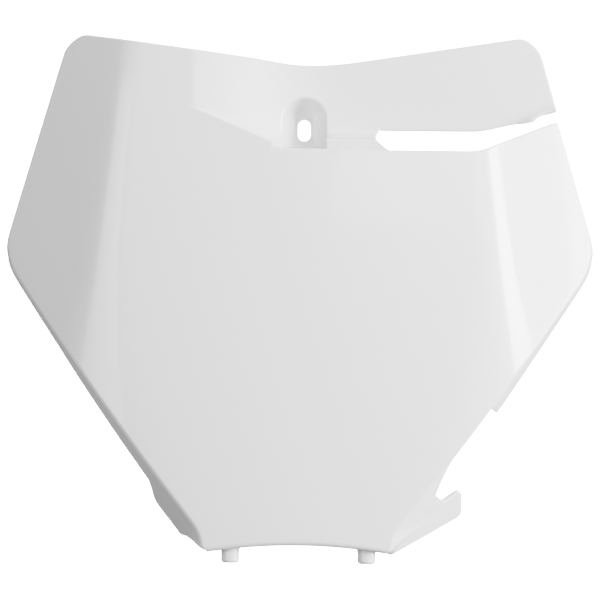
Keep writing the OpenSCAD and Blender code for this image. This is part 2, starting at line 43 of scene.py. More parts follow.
# Sizes in millimetres and angles in degrees, named as in the source. The shares and powers have no
# unit: foldEnd is a share of the height below the origin, foldMost and foldEndMost are shares of
# the half width.
board = {
    "sideW": 267.0, "topW": 208.4, "bottomW": 85.0, "boardShift": -1.4,
    "topH": 43.2, "dipH": 27.8, "sideDrop": 56.0, "bottomDrop": 187.0, "bottomRise": 3.4,
    "lowerBow": 1.8, "topCornerR": 8.5, "sideCornerL": 27.0,
    "bossSetBack": 30.4, "crownAcross": 600.0, "crownUp": 850.0, "crownDrop": 95.0,
    "foldW": 161.0, "foldFlare": 6.0, "wingFold": 26.0, "foldSoft": 16.0, "foldSpread": 0.12,
    "foldLow": 45.0, "foldLoose": 0.006, "foldEnd": 0.57, "foldMost": 0.86, "foldEndMost": 0.95,
    "ridgeX": 9.0, "ridgeRun": 3.0, "ridgeUp": 5.6, "ridgeW": 0.8, "ridgeH": 1.7,
    "grooveUp": 4.0, "grooveD": 0.9,
    "wall": 2.2, "ledgeDrop": 8.3, "ledgeClimb": 23.0, "ledgeCorner": 6.3, "ledgeDraft": 21.0,
    "ledgePastRamp": 12.0,
    "earSetBack": 13.0, "earLean": 4.0, "rampStart": 50.0, "rampCrease": 7.5, "rampAngle": 21.0,
    "slotStart": 29.7, "slotW": 8.2, "slotTurn": 78.0, "slotLowAngle": 21.7,
    "slotHighAngle": 13.2, "kneeUp": 9.0, "kneeOut": 1.5, "kneeSoft": 14.0,
    "dipX": 4.0, "dipSoft": 50.0, "dipStep": 1.0, "dipStepL": 25.0,
    "ledgeSoft": 14.0, "ledgeRound": 1.7, "slotSoft": 12.0, "slotLean": 1.23,
    "slotBackLean": 0.67, "slotBackRise": 4.0, "slotTipRise": 5.3, "slotLeanL": 22.0,
    "slotLeanH": 10.0, "slotLeanFade": 20.0, "rampSoft": 4.0, "rampL": 36.0, "blendPower": 5.0,
}
lips = {
    "rollR": 2.5, "plainRoll": 1.6, "slotEndRoll": 0.9, "lipDraft": 25.0, "shelfDraft": 1.0,
    "lipShort": 3.2, "lipLong": 9.6, "lipEndDrop": 121.0, "lipRamp": 18.0,
    "flangeL": 18.0, "flangeDrop": 151.5, "flangeRamp": 10.0, "flangeFoot": 12.0,
    "footPower": 0.7, "shelfL": 14.0, "edgeRound": 0.6, "rings": 14, "arcRings": 8,
}


def mix(a, b, t):
    return a + (b - a) * t


def smooth(t):
    c = np.clip(t, 0, 1)
    return c * c * (3 - 2 * c)


def tan(a):
    return math.tan(math.radians(a))


# Zero below u = 0 and rising one for one past u = w: w (t^3 - t^4 / 2) with t = u / w between.
def bend(u, w):
    t = np.clip(u / w, 0, 1)
    return np.where(u >= w, u - w / 2, w * (t ** 3 - t ** 4 / 2))


# The same bend with its middle at u = 0.
def corner(u, w):
    return bend(u + w / 2, w)


# The smaller of a rise a and a limit b: (a^-p + b^-p)^(-1/p), or the one that isn't above zero.
def limited(a, b):
    p = board["blendPower"]
    sa = np.maximum(a, 1e-6)
    sb = np.maximum(b, 1e-6)
    low = np.minimum(sa, sb)
    both = low * ((low / sa) ** p + (low / sb) ** p) ** (-1 / p)
    return np.where(a <= 0, 0, np.where(b <= 0, b, both))


shift = board["boardShift"]
wall = board["wall"]
rollR = lips["rollR"]
plainInset = rollR * math.sin(lips["plainRoll"] / rollR)
rowBottom = -board["bottomDrop"]
rowSide = -board["sideDrop"]
topHalf = board["topW"] / 2
sideHalf = board["sideW"] / 2
bottomHalf = board["bottomW"] / 2
upperSlope = (sideHalf - topHalf) / (board["topH"] + board["sideDrop"])
lowerRun = board["bottomDrop"] - board["kneeUp"] - board["sideDrop"]
lowerSlope = (sideHalf - bottomHalf - board["kneeOut"]) / lowerRun
kneeSlope = board["kneeOut"] / board["kneeUp"]


# Half width of the outline at height z: straight sides, rounded corners, a knee and a slight bow.
def outlineHalf(z):
    t = np.clip((rowSide - z) / lowerRun, 0, 1)
    half = sideHalf - upperSlope * corner(z - rowSide, board["sideCornerL"])
    half = half - lowerSlope * corner(rowSide - z, board["sideCornerL"])
    knee = corner(rowBottom + board["kneeUp"] - z, board["kneeSoft"])
    half = half + (lowerSlope - kneeSlope) * knee
    return half + 4 * board["lowerBow"] * t * (1 - t)


def gridHalf(z):
    slope = np.where(z > rowSide, upperSlope, lowerSlope)
    return outlineHalf(z) - plainInset * np.sqrt(1 + slope ** 2)


# The top edge: two slopes that meet in a soft dip, with a small step where the ramp is.
def topLine(x):
    b = board
    slopeR = (b["topH"] - b["dipH"]) / (topHalf + shift - b["dipX"])
    slopeL = (b["topH"] - b["dipH"] - b["dipStep"]) / (topHalf - shift + b["dipX"])
    line = b["dipH"] + slopeR * corner(x - b["dipX"], b["dipSoft"])
    line = line + slopeL * corner(b["dipX"] - x, b["dipSoft"])
    return line + b["dipStep"] * (1 - smooth((x + b["dipStepL"]) / b["dipStepL"]))


def ledgeClimb(x):
    b = board
    near = corner(-b["ledgeCorner"] - x, b["ledgeSoft"])
    far = corner(-(b["rampStart"] + b["ledgePastRamp"]) - x, b["ledgeSoft"])
    return tan(b["ledgeClimb"]) * (near - far)


def ledgeLine(x):
    turn = tan(board["slotLowAngle"]) * corner(x - board["slotTurn"], board["slotSoft"])
    return -board["ledgeDrop"] + ledgeClimb(x) + turn


def slotTopLine(x):
    turn = tan(board["slotHighAngle"]) * corner(x - board["slotTurn"], board["slotSoft"])
    return board["slotW"] - board["ledgeDrop"] + ledgeClimb(x) + turn


# Depth of the face: a crown x^2 / 2R + z^2 / 2R, a fold at each side that widens towards the
# bottom, and the ledge to the ear. Right of the boss the ledge ends in a groove and a ridge, each
# h exp(-(climb / w)^2).
def crown(x, z):
    b = board
    across = (x - shift) ** 2 / (2 * b["crownAcross"])
    return across + (z + b["crownDrop"]) ** 2 / (2 * b["crownUp"]) - b["bossSetBack"]


def foldAt(z):
    return board["foldW"] / 2 - z * tan(board["foldFlare"])


def foldWide(z):
    low = np.minimum(0, z + board["foldLow"])
    wide = board["foldSoft"] - board["foldSpread"] * np.minimum(0, z)
    return wide + board["foldLoose"] * low ** 2


def fold(out, z):
    return tan(board["wingFold"]) * corner(out - foldAt(z), foldWide(z))


def faceY(x, z, below):
    b = board
    base = crown(x, z)
    fall = tan(b["rampCrease"]) * corner(x + b["rampStart"], b["rampSoft"])
    steeper = tan(b["rampAngle"]) - tan(b["rampCrease"])
    fall = fall + steeper * bend(x + b["rampStart"], b["rampL"])
    ramp = limited(fall, z * tan(b["earLean"]) - b["earSetBack"] - base)
    climb = z - ledgeLine(x)
    ledge = limited(corner(climb, b["ledgeRound"]) / tan(b["ledgeDraft"]), ramp)
    ridge = np.exp(-((climb - b["ridgeUp"]) / b["ridgeW"]) ** 2)
    groove = np.exp(-((climb - b["grooveUp"]) / b["ridgeW"]) ** 2)
    more = b["grooveD"] * groove - b["ridgeH"] * ridge
    ledge = ledge + more * smooth((x - b["ridgeX"]) / b["ridgeRun"])
    return base + fold(shift - x, z) + np.where(below, fold(x - shift, z), ledge)


def unit(v):
    return v / np.linalg.norm(v, axis=-1, keepdims=True)


# The face's normal from central differences, pointing back into the wall.
def faceNormal(x, z, below, reach=0.05):
    dx = (faceY(x - reach, z, below) - faceY(x + reach, z, below)) / (2 * reach)
    dz = (faceY(x, z - reach, below) - faceY(x, z + reach, below)) / (2 * reach)
    return unit(np.stack([dx, np.ones_like(dx), dz], axis=-1))


def onFace(x, z, below):
    return np.stack([x, faceY(x, z, below), z], axis=-1)


# The grid's columns are shares u of the half width. They follow the fold as far as it goes.
foldU = float((foldAt(0) - foldWide(0) / 2) / outlineHalf(0))
foldEndU = float((foldAt(0) + foldWide(0) / 2) / outlineHalf(0))
slotU = (board["slotStart"] - shift) / float(outlineHalf(0))
foldEndZ = board["foldEnd"] * rowBottom


def steps(a, b, n):
    return np.linspace(a, b, n, endpoint=False)


leftU = np.concatenate([
    steps(-1, -foldEndU, 16), steps(-foldEndU, -foldU, 16), steps(-foldU, 0, 46),
    steps(0, slotU, 22),
])
rightU = np.concatenate([
    steps(slotU, foldU, 32), steps(foldU, foldEndU, 16), steps(foldEndU, 1, 16), [1.0],
])
colU = np.concatenate([leftU, rightU])
slotCol = len(leftU)
lastCol = len(colU) - 1


def columnAt(u, z):
    zFold = np.maximum(z, foldEndZ)
    back = smooth((foldEndZ - z) / (foldEndZ - rowBottom))
    near = (foldAt(zFold) - foldWide(zFold) / 2) / outlineHalf(zFold)
    far = (foldAt(zFold) + foldWide(zFold) / 2) / outlineHalf(zFold)
    near = mix(np.minimum(board["foldMost"], near), foldU, back)
    far = mix(np.minimum(board["foldEndMost"], far), foldEndU, back)
    a = np.abs(u)
    inner = a / foldU * near
    middle = mix(near, far, (a - foldU) / (foldEndU - foldU))
    outer = mix(far, 1, (a - foldEndU) / (1 - foldEndU))
    share = np.where(a <= foldU, inner, np.where(a <= foldEndU, middle, outer))
    return np.where(u < 0, -share, share)


def columnX(zl, zr, u):
    share = (columnAt(u, np.where(u < 0, zl, zr)) + 1) / 2
    return shift + mix(-gridHalf(zl), gridHalf(zr), share)


# The hook's flange lies in a plane turned back about the chord of the lower right fold, above the
# knee. Heights on the hook are measured along this chord from the level of the bottom corner.
# chordShare, flatAt and the four that begin with bow are shares, of a height or of the way round.
hook = {
    "fold": 40.0, "footW": 7.6, "cornerH": 32.9, "reach": 29.9, "mouthH": 33.6, "mouthW": 14.3,
    "tipH": 41.1, "tipW": 3.5, "tipLean": 3.2, "flareH": 52.0, "flareW": 6.0, "flarePower": 1.5,
    "chordShare": 0.82, "footUp": 0.7, "bowUp": 0.72, "bowOut": 0.44, "bowStart": 0.15,
    "bowEnd": 0.2, "flatAt": 0.625, "cornerRadii": (2.2, 1.3, 1.1, 1.5, 0.9),
}


def chordPoint(z):
    return onFace(np.array(shift + float(gridHalf(z))), np.array(z), True)


hookLow = chordPoint(rowBottom + board["kneeUp"])
hookHigh = chordPoint(rowBottom + hook["chordShare"] * hook["mouthH"])
hookAlong = unit(hookHigh - hookLow)
hookAt = hookLow - hookAlong * (board["kneeUp"] - plainInset) / hookAlong[2]
hookNormal = faceNormal(np.array(hookHigh[0]), np.array(hookHigh[2]), True)
hookFlat = unit(np.cross(hookNormal, hookAlong))
hookBack = unit(np.cross(hookAlong, hookFlat))
foldCos = math.cos(math.radians(hook["fold"]))
foldSin = math.sin(math.radians(hook["fold"]))
hookOut = foldCos * hookFlat + foldSin * hookBack
hookIn = foldCos * hookBack - foldSin * hookFlat

# Rows of the grid: a level (bottom, side corners, ledge, top of the slot) and a share of the way
# up to the next.
cornerDrop = board["bottomDrop"] - plainInset
lowerDrop = cornerDrop - board["sideDrop"]
lipEndF = (cornerDrop - lips["lipEndDrop"]) / lowerDrop
mouthF = hook["mouthH"] * hookAlong[2] / lowerDrop
cutF = 0.004
mouthRow = 44
lipRows = 26
sideRows = 24
earRows = 26
lowerF = np.concatenate([
    np.linspace(0, mouthF, mouthRow + 1), steps(mouthF + cutF, lipEndF - cutF, lipRows),
    [lipEndF - cutF], steps(lipEndF, 1, 30),
])
ledgeF = np.concatenate([steps(0, 0.75, 32), steps(0.75, 1, 5)])
rowLevel = np.repeat([0, 1, 2, 3], [len(lowerF), sideRows, len(ledgeF), earRows])
rowF = np.concatenate([lowerF, steps(0, 1, sideRows), ledgeF, np.linspace(0, 1, earRows)])
slotRow = len(lowerF) + sideRows
earRow = slotRow + len(ledgeF)
lastRow = len(rowF) - 1
lipEndRow = mouthRow + 1 + lipRows + 1

gridLeft = shift - float(gridHalf(0.0))
gridRight = shift + float(gridHalf(0.0))
ends = np.array([gridLeft, gridRight])
edgeZ = np.array([
    [rowBottom + plainInset] * 2, [rowSide] * 2, ledgeLine(ends) - plainInset,
    slotTopLine(ends) + plainInset, [board["topH"] - plainInset] * 2,
])


def levelLines(u):
    xs = [columnX(edgeZ[k][0], edgeZ[k][1], u) for k in range(5)]
    return np.stack([
        rowBottom + plainInset + board["bottomRise"] * (1 - u ** 2), np.full_like(u, rowSide),
        ledgeLine(xs[2]) - plainInset, slotTopLine(xs[3]) + plainInset,
        topLine(xs[4]) - plainInset,
    ])


# The slot's left end leans one way below its tip and the other way above it.
def leanX(x, z):
    b = board
    rise = z - ledgeLine(x) - b["slotTipRise"]
    lean = b["slotLean"] * np.clip(-rise, 0, b["slotTipRise"] + plainInset)
    lean = lean + b["slotBackLean"] * np.clip(rise, 0, b["slotBackRise"])
    near = np.clip(1 - np.abs(x - b["slotStart"]) / b["slotLeanL"], 0, 1)
    level = np.clip(1 - (np.abs(z) - b["slotLeanH"]) / b["slotLeanFade"], 0, 1)
    return x + lean * near * level


# Square grid corners become round: a unit square (a, b) maps to a disc, a sqrt(1 - b^2 / 2).
def roundCorner(x, z):
    r = board["topCornerR"]
    side = np.where(x > shift, 1, -1)
    a = np.clip(1 - (gridHalf(z) - side * (x - shift)) / r, 0, 1)
    b = np.clip(1 - (topLine(x) - plainInset - z) / r, 0, 1)
    newX = x - r * side * a * (1 - np.sqrt(1 - b * b / 2))
    newZ = z - r * b * (1 - np.sqrt(1 - a * a / 2))
    return newX, newZ


share = rowF[:, None]
us = colU[None, :]
zLeft = mix(edgeZ[rowLevel, 0], edgeZ[rowLevel + 1, 0], rowF)[:, None]
zRight = mix(edgeZ[rowLevel, 1], edgeZ[rowLevel + 1, 1], rowF)[:, None]
lines = levelLines(colU)
gridX = columnX(zLeft, zRight, us)
gridZ = mix(lines[rowLevel], lines[rowLevel + 1], share)
gridX, gridZ = roundCorner(leanX(gridX, gridZ), gridZ)
gridBelow = (np.arange(lastRow + 1) <= slotRow)[:, None] & np.ones_like(gridX, bool)
gridFront = onFace(gridX, gridZ, gridBelow)
rimReach = 0.4
wallReach = 1.3
gridNormal = faceNormal(gridX, gridZ, gridBelow, rimReach)
gridInner = faceNormal(gridX, gridZ, gridBelow, wallReach)
print("stage: face grid", gridX.shape)

# The rim of the grid once round, anticlockwise, as rows and columns.
rim = np.array(
    [(0, j) for j in range(lastCol + 1)]
    + [(i, lastCol) for i in range(1, slotRow + 1)]
    + [(slotRow, j) for j in range(lastCol - 1, slotCol - 1, -1)]
    + [(i, slotCol) for i in range(slotRow + 1, earRow + 1)]
    + [(earRow, j) for j in range(slotCol + 1, lastCol + 1)]
    + [(i, lastCol) for i in range(earRow + 1, lastRow + 1)]
    + [(lastRow, j) for j in range(lastCol - 1, -1, -1)]
    + [(i, 0) for i in range(lastRow - 1, 0, -1)]
)
rimI, rimJ = rim[:, 0], rim[:, 1]
rimN = len(rim)
rimAt = gridFront[rimI, rimJ]
rimNormal = gridNormal[rimI, rimJ]
rimOut = unit(np.cross(rimNormal, np.roll(rimAt, -1, axis=0) - np.roll(rimAt, 1, axis=0)))
rimZ = rimAt[:, 2]
onBottom = rimI == 0
onLeft = (rimJ == 0) & (rimI > 0) & (rimI < lastRow)
onRight = (rimJ == lastCol) & (rimI > 0) & (rimI < slotRow)
onHook = (rimJ == lastCol) & (rimI <= mouthRow)
belowLip = (rimJ == lastCol) & (rimI < lipEndRow)
draft = np.where(onBottom, lips["shelfDraft"], lips["lipDraft"])
rimTurn = 90 - draft - np.degrees(np.arcsin(rimOut[:, 1]))
rimTurn = np.radians(np.where(belowLip, hook["fold"], rimTurn))

# Length of the rolled rim past the grid: a plain edge, a lip, the left flange, the shelf or the
# hook.
lipGrow = np.clip((rowSide - rimZ) / (lips["flangeDrop"] - board["sideDrop"]), 0, 1)
lipLength = 1 - smooth((rimZ - rowSide + lips["lipRamp"] / 3) / lips["lipRamp"])
lipLength = lipLength * mix(lips["lipShort"], lips["lipLong"], lipGrow)
flangeStart = smooth((-lips["flangeDrop"] - rimZ) / lips["flangeRamp"])
flangeMore = (lips["flangeL"] - lips["lipLong"]) * flangeStart
flangeRise = np.clip((rimZ - rowBottom - plainInset) / lips["flangeFoot"], 0, 1)
flangeFoot = (lips["flangeL"] + rollR) * flangeRise ** lips["footPower"]
leftLength = np.minimum(lipLength + flangeMore, flangeFoot)
flareShare = (hook["flareH"] - (rimAt - hookAt) @ hookAlong) / (hook["flareH"] - hook["mouthH"])
flareLength = hook["flareW"] * np.clip(flareShare, 0, 1) ** hook["flarePower"]
rimLength = np.full(rimN, lips["plainRoll"])
rimLength += np.where(onLeft, leftLength, 0)
rightLength = np.where(belowLip, np.where(onHook, 0, flareLength), lipLength)
rimLength += np.where(onRight, rightLength, 0)
atEnds = (rimJ == 0) | (rimJ == lastCol)
rimLength = np.where(onBottom & ~atEnds, lips["shelfL"], rimLength)
onSlotEnd = (rimJ == slotCol) & (rimI >= slotRow) & (rimI <= earRow)
rimLength = np.where(onSlotEnd, lips["slotEndRoll"], rimLength) - lips["edgeRound"]

edge = lips["edgeRound"]
rings = lips["rings"]
arcRings = lips["arcRings"]


# The rim's profile: an arc of rollR through the station's turn, and then straight on.
def rollPoint(run):
    angle = np.minimum(run / rollR, rimTurn)[:, None]
    straight = run[:, None] - rollR * angle
    along = np.cos(angle) * rimOut + np.sin(angle) * rimNormal
    inward = np.cos(angle) * rimNormal - np.sin(angle) * rimOut
    bow = rollR * np.sin(angle) * rimOut + rollR * (1 - np.cos(angle)) * rimNormal
    return rimAt + bow + straight * along, inward


rimArc = rollR * rimTurn
ringAt = []
ringIn = []
for k in range(1, rings + 1):
    inArc = np.minimum(rimLength * k / rings, rimArc * min(k, arcRings) / arcRings)
    lastArc = np.minimum(rimLength * arcRings / rings, rimArc)
    runK = inArc if k <= arcRings else mix(lastArc, rimLength, (k - arcRings) / (rings - arcRings))
    point, inward = rollPoint(runK)
    ringAt.append(point)
    ringIn.append(inward)

arcHook = rollR * math.radians(hook["fold"])
hookPlane = hookAt - rollR * (1 - foldCos) * hookIn
hookM = np.nonzero(onHook)[0]


def onHookPlane(points):
    return np.stack([(points - hookPlane) @ hookAlong, (points - hookPlane) @ hookOut], axis=-1)


# A path whose corners are rounded: each is a parabola between points one radius from the corner.
def rounded(points, radii, firstSteps, cornerSteps):
    pts = np.array(points, float)
    path = [pts[0] + (pts[1] - pts[0]) * t for t in steps(0, 0.85, firstSteps)]
    for k, radius in enumerate(radii, 1):
        start = pts[k] + unit(pts[k - 1] - pts[k]) * radius
        end = pts[k] + unit(pts[k + 1] - pts[k]) * radius
        for t in np.linspace(0, 1, cornerSteps):
            path.append((1 - t) ** 2 * start + 2 * t * (1 - t) * pts[k] + t ** 2 * end)
    return np.array(path)


# The hook's edge runs up from the bottom corner, round the outer corner and the tip, and down into
# the mouth, where it meets the first plain station above.
tipOut = hook["mouthW"] + hook["tipLean"]
aboveMouth = onHookPlane(rollPoint(rimLength)[0])[hookM[-1] + 1]
footSlope = (hook["reach"] - hook["footW"]) / hook["cornerH"]
hookEdge = rounded([
    (hook["footUp"], hook["footW"] + hook["footUp"] * footSlope - edge),
    (hook["cornerH"], hook["reach"] - 1.3 * edge),
    (hook["tipH"] - edge, tipOut + hook["tipW"] - edge * 0.4), (hook["tipH"] - edge, tipOut + edge),
    (hook["mouthH"] - edge, hook["mouthW"] + edge * 0.5),
    (hook["mouthH"] - edge, aboveMouth[1] + 0.4), aboveMouth,
], hook["cornerRadii"], 9, 7)
hookV = np.linspace(0, 1, len(hookM))
hookRight = np.stack([
    np.interp(hookV, np.linspace(0, 1, len(hookEdge)), hookEdge[:, n]) for n in (0, 1)], axis=-1)

# The hook's flange lies in one plane: curves from the fold to its edge, which all bow towards the
# middle of the flange: (1 - t)^2 fold + 2 t (1 - t) middle + t^2 edge.
middle = np.array([hook["bowUp"] * hook["cornerH"], hook["bowOut"] * hook["reach"]])
arcEnd, arcInward = rollPoint(np.full(rimN, arcHook))
base = onHookPlane(arcEnd[hookM])
baseDepth = (arcEnd[hookM] - hookPlane) @ hookIn
bow = smooth(hookV / hook["bowStart"]) * smooth((1 - hookV) / hook["bowEnd"])
control = mix((base + hookRight) / 2, middle, bow[:, None])
for k in range(1, rings + 1):
    t = max(0, (k - arcRings) / (rings - arcRings))
    part, partIn = rollPoint(np.full(rimN, arcHook * min(k, arcRings) / arcRings))
    flat = (1 - t) ** 2 * base + 2 * t * (1 - t) * control + t ** 2 * hookRight
    fade = 1 - smooth(np.array(t / hook["flatAt"]))
    at = hookPlane + flat[:, :1] * hookAlong + flat[:, 1:] * hookOut
    at = at + (baseDepth * fade)[:, None] * hookIn
    inward = unit(fade * arcInward[hookM] + (1 - fade) * hookIn)
    ringAt[k - 1][hookM] = part[hookM] if k <= arcRings else at
    ringIn[k - 1][hookM] = partIn[hookM] if k <= arcRings else inward
print("stage: rim", rimN)


class Builder:
    # Collects vertices and quads and hands out their numbers.
    def __init__(self):
        self.points = []
        self.quads = []
        self.count = 0

    def add(self, points):
        flat = np.asarray(points).reshape(-1, 3)
        ids = np.arange(self.count, self.count + len(flat))
        self.points.append(flat)
        self.count += len(flat)
        return ids.reshape(np.asarray(points).shape[:-1])

    # Quads between two rows of vertex numbers. The front of each faces right of the first row.
    def strip(self, a, b, closed=False, flip=False):
        if closed:
            a = np.append(a, a[0])
            b = np.append(b, b[0])
        quad = np.stack([a[:-1], a[1:], b[1:], b[:-1]], axis=-1)
        self.quads.append(quad[:, ::-1] if flip else quad)

    def grid(self, ids, keep=None, flip=False):
        quad = np.stack([ids[:-1, :-1], ids[:-1, 1:], ids[1:, 1:], ids[1:, :-1]], axis=-1)
        quad = quad[keep] if keep is not None else quad.reshape(-1, 4)
        self.quads.append(quad[:, ::-1] if flip else quad)


build = Builder()

# The screw pocket and its boss. The block of the grid round them is left out, and a fan of loops
# fills it, whose rays start at the centre height inside the screw slot.
boss = {
    "pocketR": 9.8, "floorR": 5.9, "rise": 4.7, "floor": 3.0, "foot": 1.2,
    "slotW": 5.6, "slotH": 9.3, "rimRound": 0.9, "floorRound": 2.4, "wallRound": 5.0,
    "holeEdge": 0.25, "seatRound": 0.7, "seatShare": 0.12, "centre": 1.2,
    "blockLeft": -16.5, "blockRight": 14.5, "blockLow": -13.0, "blockHigh": 18.0,
}
blockX = gridX[slotRow + 20]
blockLeft = int(np.searchsorted(blockX, boss["blockLeft"]))
blockRight = int(np.searchsorted(blockX, boss["blockRight"]))
blockLow = int(np.searchsorted(gridZ[:, slotCol // 2], boss["blockLow"]))
blockLow = min(blockLow, slotRow - 3)
blockMiddle = (blockLeft + blockRight) // 2
blockHigh = int(np.searchsorted(gridZ[:, blockMiddle], boss["blockHigh"]))
cellI = np.arange(lastRow)[:, None]
cellJ = np.arange(lastCol)[None, :]
isSlot = (cellI >= slotRow) & (cellI < earRow) & (cellJ >= slotCol)
isBlock = (cellI >= blockLow) & (cellI < blockHigh) & (cellJ >= blockLeft) & (cellJ < blockRight)
kept = ~isSlot & ~isBlock
used = np.zeros(gridX.shape, bool)
used[:-1, :-1] |= kept
used[1:, :-1] |= kept
used[:-1, 1:] |= kept
used[1:, 1:] |= kept


def sheetIds(points):
    ids = np.full(gridX.shape, -1)
    ids[used] = build.add(points[used])
    return ids


frontIds = sheetIds(gridFront)
rearIds = sheetIds(gridFront + wall * gridInner)
build.grid(frontIds, kept)
build.grid(rearIds, kept, flip=True)

# Rings on both sides, and between their ends a rounded edge.
frontRow = frontIds[rimI, rimJ]
rearRow = rearIds[rimI, rimJ]
for k in range(rings):
    nextFront = build.add(ringAt[k])
    nextRear = build.add(ringAt[k] + wall * ringIn[k])
    build.strip(frontRow, nextFront, closed=True, flip=True)
    build.strip(rearRow, nextRear, closed=True)
    frontRow, rearRow = nextFront, nextRear

# The rounded edge: quarter circles of edgeRound about points that lie inside the wall.
edgeAt = ringAt[-1]
edgeIn = ringIn[-1]
edgeAlong = unit(np.cross(edgeIn, np.roll(edgeAt, -1, axis=0) - np.roll(edgeAt, 1, axis=0)))
edgeTurns = np.concatenate([np.linspace(0, 90, 5)[1:], np.linspace(90, 180, 5)[:-1]])
for n, turn in enumerate(np.radians(edgeTurns)):
    inset = edge * (1 - math.cos(turn)) + (0 if n < 4 else wall - 2 * edge)
    nextFront = build.add(edgeAt + edge * math.sin(turn) * edgeAlong + inset * edgeIn)
    build.strip(frontRow, nextFront, closed=True, flip=True)
    frontRow = nextFront
build.strip(frontRow, rearRow, closed=True, flip=True)

# The block's outline once round, anticlockwise, and the direction of each of its points from the
# centre.
ring = (
    [(blockLow, j) for j in range(blockLeft, blockRight)]
    + [(i, blockRight) for i in range(blockLow, blockHigh)]
    + [(blockHigh, j) for j in range(blockRight, blockLeft, -1)]
    + [(i, blockLeft) for i in range(blockHigh, blockLow, -1)]
)
ringI, ringJ = np.array(ring).T
centreZ = boss["centre"]
outer = np.stack([gridX[ringI, ringJ], gridZ[ringI, ringJ]], axis=-1)
ray = unit(outer - np.array([0, centreZ]))


# Where the rays meet a U: a half circle of the given half width about topZ, over straight sides
# and a flat bottom. The nearest of the three is the crossing.
def meetU(half, topZ, bottomZ):
    dx, dz = ray[:, 0], ray[:, 1]
    toSide = half / np.maximum(np.abs(dx), 1e-9)
    toBottom = np.where(dz < 0, (bottomZ - centreZ) / np.minimum(dz, -1e-9), 1e9)
    gap = centreZ - topZ
    dot = dz * gap
    toTop = -dot + np.sqrt(np.maximum(dot ** 2 - gap ** 2 + half ** 2, 0))
    sideZ = centreZ + toSide * dz
    far = np.where(sideZ > topZ, toTop, np.minimum(toSide, toBottom))
    return np.array([0, centreZ]) + far[:, None] * ray


# Where they meet the screw slot: two half circles about the heights -rise and rise, and its sides.
def meetSlot(half, rise):
    dx, dz = np.abs(ray[:, 0]), ray[:, 1]
    end = np.where(dz > 0, rise, -rise)
    gap = centreZ - end
    dot = dz * gap
    toEnd = -dot + np.sqrt(np.maximum(dot ** 2 - gap ** 2 + half ** 2, 0))
    toSide = half / np.maximum(dx, 1e-9)
    sideZ = centreZ + toSide * dz
    far = np.where(np.abs(sideZ) <= rise, toSide, toEnd)
    return np.array([0, centreZ]) + far[:, None] * ray


# The pocket's section at depth y, grown by g: the sides taper and the bottom rises to the floor.
panelY = float(crown(0, -board["ledgeDrop"])) + wall / 2


def section(y, g):
    t = np.clip((y + board["earSetBack"]) / (board["earSetBack"] - boss["floor"]), 0, 1)
    half = mix(boss["pocketR"], boss["floorR"], t) + g
    rise = boss["foot"] * np.clip((y - panelY) / (-boss["floor"] - panelY), 0, 1)
    return meetU(half, boss["rise"], rise - board["ledgeDrop"] - g)


def lift(xz, y):
    return np.stack([xz[:, 0], y, xz[:, 1]], axis=-1)


def bezier(a, b, c, t):
    return (1 - t) ** 2 * a + 2 * t * (1 - t) * b + t ** 2 * c


# The pocket's rim lies where its section meets the face, found in a few rounds.
above = np.zeros(len(ring), bool)
rimY = np.full(len(ring), -board["earSetBack"])
for _ in range(8):
    rimXZ = section(rimY, 0)
    rimY = faceY(rimXZ[:, 0], rimXZ[:, 1], above)
loops = []
frontLoops = 12
startXZ = rimXZ + boss["rimRound"] * ray
for t in np.linspace(0, 1, frontLoops)[1:]:
    xz = mix(outer, startXZ, t)
    loops.append(lift(xz, faceY(xz[:, 0], xz[:, 1], above)))
rimPoint = lift(rimXZ, rimY)
wallTop = rimY + boss["rimRound"]
wallPoint = lift(section(wallTop, 0), wallTop)
for t in np.linspace(0, 1, 6)[1:]:
    loops.append(bezier(loops[frontLoops - 2], rimPoint, wallPoint, t))
floorY = np.full(len(ring), -boss["floor"])
floorXZ = section(floorY, 0)
bendTop = floorY - boss["wallRound"]
for t in np.linspace(0, 1, 7)[1:]:
    y = mix(wallTop, np.maximum(bendTop, wallTop), t)
    loops.append(lift(section(y, 0), y))
holeHalf = boss["slotW"] / 2
holeRise = (boss["slotH"] - boss["slotW"]) / 2
hole = meetSlot(holeHalf, holeRise)
gapToHole = np.linalg.norm(floorXZ - hole, axis=1)[:, None]
inward = unit(hole - floorXZ)
floorIn = floorXZ + inward * np.minimum(boss["floorRound"], 0.6 * gapToHole)
bendFrom = loops[-1]
for t in np.linspace(0, 1, 9)[1:]:
    loops.append(bezier(bendFrom, lift(floorXZ, floorY), lift(floorIn, floorY), t))
loops.append(lift(mix(floorIn, hole, 0.5), floorY))
holeEdge = boss["holeEdge"]
loops.append(lift(hole - holeEdge * inward, floorY))
for t in np.linspace(0, 1, 4)[1:]:
    loops.append(bezier(
        lift(hole - holeEdge * inward, floorY), lift(hole, floorY),
        lift(hole, floorY + holeEdge), t))
loops.append(lift(hole, np.full(len(ring), -holeEdge)))
seatY = np.zeros(len(ring))
for t in np.linspace(0, 1, 4)[1:]:
    loops.append(bezier(
        lift(hole, seatY - holeEdge), lift(hole, seatY), lift(hole - holeEdge * inward, seatY), t))
seatXZ = section(seatY, wall)
seatIn = mix(seatXZ, hole, boss["seatShare"])
loops.append(lift(mix(hole, seatXZ, 0.5), seatY))
loops.append(lift(seatIn, seatY))
seatEdge = seatY - boss["seatRound"]
for t in np.linspace(0, 1, 5)[1:]:
    loops.append(bezier(
        lift(seatIn, seatY), lift(seatXZ, seatY), lift(section(seatEdge, wall), seatEdge), t))

